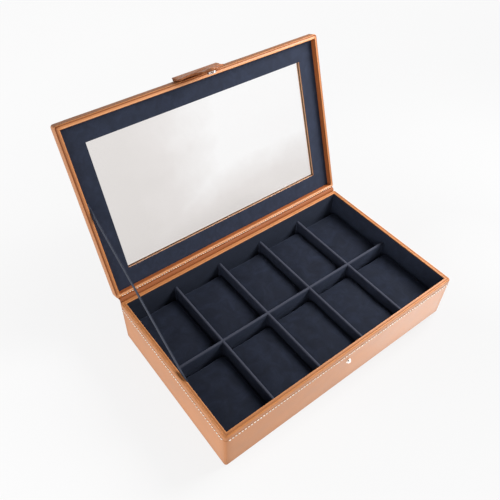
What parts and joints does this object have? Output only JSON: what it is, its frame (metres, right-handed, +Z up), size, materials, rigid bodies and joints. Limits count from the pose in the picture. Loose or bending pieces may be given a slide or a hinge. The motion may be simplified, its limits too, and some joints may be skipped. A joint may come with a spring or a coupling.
{
  "type": "watch box",
  "caption": "Shallow leather-covered box with a hinged glass-topped lid, a cushioned compartment tray and a snap closure tab.",
  "frame": {"origin": "centre of the flat underside of the base", "axes": "+X to the right along the long side, -Y towards the front with the snap, +Z up; stored with the lid open"},
  "size_m": [0.312, 0.2676, 0.2586],
  "materials": {
    "tan_leather": "grained full leather, satin, stitched in cream",
    "hinge_leather": "grained leather, flexible",
    "inner_leather": "smooth leather, darker inside the lid",
    "tab_leather": "grained leather with burnished edges",
    "navy_suede": "short-nap suede cloth",
    "divider_suede": "short-nap suede cloth on board",
    "cushion_suede": "padded short-nap suede cloth",
    "ribbon": "flat woven ribbon",
    "underside_suede": "flocked cloth",
    "board": "fibreboard, hidden",
    "clear_glass": "clear polished",
    "nickel": "polished nickel"
  },
  "bodies": {
    "base": {"base_back_board": "board", "base_floor_board": "board", "base_front_board": "board", "base_leather_wrap": "tan_leather", "base_left_board": "board", "base_right_board": "board", "base_underside_cover": "underside_suede", "cross_divider_1": "divider_suede", "cross_divider_2": "divider_suede", "cross_divider_3": "divider_suede", "cross_divider_4": "divider_suede", "hinge_leather": "hinge_leather", "lid_stay_ribbon": "ribbon", "lining_back": "navy_suede", "lining_floor": "navy_suede", "lining_front": "navy_suede", "lining_left": "navy_suede", "lining_right": "navy_suede", "long_divider": "divider_suede", "snap_stud": "nickel", "stud_washer": "nickel"},
    "lid": {"lid_back_facing": "inner_leather", "lid_back_rail": "board", "lid_front_facing": "inner_leather", "lid_front_rail": "board", "lid_leather_wrap": "tan_leather", "lid_left_facing": "inner_leather", "lid_left_rail": "board", "lid_right_facing": "inner_leather", "lid_right_rail": "board", "lid_suede_frame": "navy_suede", "lid_top_back_board": "board", "lid_top_front_board": "board", "lid_top_left_board": "board", "lid_top_right_board": "board", "lid_window_glass": "clear_glass", "window_slip_frame": "inner_leather", "stay_pad": "ribbon", "tab_root": "tab_leather"},
    "closure_tab": {"closure_tab": "tab_leather", "snap_cap": "tab_leather", "snap_socket": "nickel"},
    "cushion_01": {"watch_cushion_01": "cushion_suede"},
    "cushion_02": {"watch_cushion_02": "cushion_suede"},
    "cushion_03": {"watch_cushion_03": "cushion_suede"},
    "cushion_04": {"watch_cushion_04": "cushion_suede"},
    "cushion_05": {"watch_cushion_05": "cushion_suede"},
    "cushion_06": {"watch_cushion_06": "cushion_suede"},
    "cushion_07": {"watch_cushion_07": "cushion_suede"},
    "cushion_08": {"watch_cushion_08": "cushion_suede"},
    "cushion_09": {"watch_cushion_09": "cushion_suede"},
    "cushion_10": {"watch_cushion_10": "cushion_suede"}
  },
  "joints": [
    {"name": "lid_hinge", "type": "hinge", "parent": "base", "child": "lid", "pos_m": [0, 0.0965, 0.0593], "axis": [-1, 0, 0], "range_deg": [-109, 0], "deforming": ["hinge_leather", "lid_stay_ribbon"]},
    {"name": "tab_fold", "type": "hinge", "parent": "lid", "child": "closure_tab", "pos_m": [0, 0.16447, 0.24134], "axis": [-1, 0, 0], "range_deg": [-9, 81]},
    {"name": "cushion_01_lift", "type": "slide", "parent": "base", "child": "cushion_01", "axis": [0, 0, 1], "range_m": [0, 0.07]},
    {"name": "cushion_02_lift", "type": "slide", "parent": "base", "child": "cushion_02", "axis": [0, 0, 1], "range_m": [0, 0.07]},
    {"name": "cushion_03_lift", "type": "slide", "parent": "base", "child": "cushion_03", "axis": [0, 0, 1], "range_m": [0, 0.07]},
    {"name": "cushion_04_lift", "type": "slide", "parent": "base", "child": "cushion_04", "axis": [0, 0, 1], "range_m": [0, 0.07]},
    {"name": "cushion_05_lift", "type": "slide", "parent": "base", "child": "cushion_05", "axis": [0, 0, 1], "range_m": [0, 0.07]},
    {"name": "cushion_06_lift", "type": "slide", "parent": "base", "child": "cushion_06", "axis": [0, 0, 1], "range_m": [0, 0.07]},
    {"name": "cushion_07_lift", "type": "slide", "parent": "base", "child": "cushion_07", "axis": [0, 0, 1], "range_m": [0, 0.07]},
    {"name": "cushion_08_lift", "type": "slide", "parent": "base", "child": "cushion_08", "axis": [0, 0, 1], "range_m": [0, 0.07]},
    {"name": "cushion_09_lift", "type": "slide", "parent": "base", "child": "cushion_09", "axis": [0, 0, 1], "range_m": [0, 0.07]},
    {"name": "cushion_10_lift", "type": "slide", "parent": "base", "child": "cushion_10", "axis": [0, 0, 1], "range_m": [0, 0.07]}
  ]
}
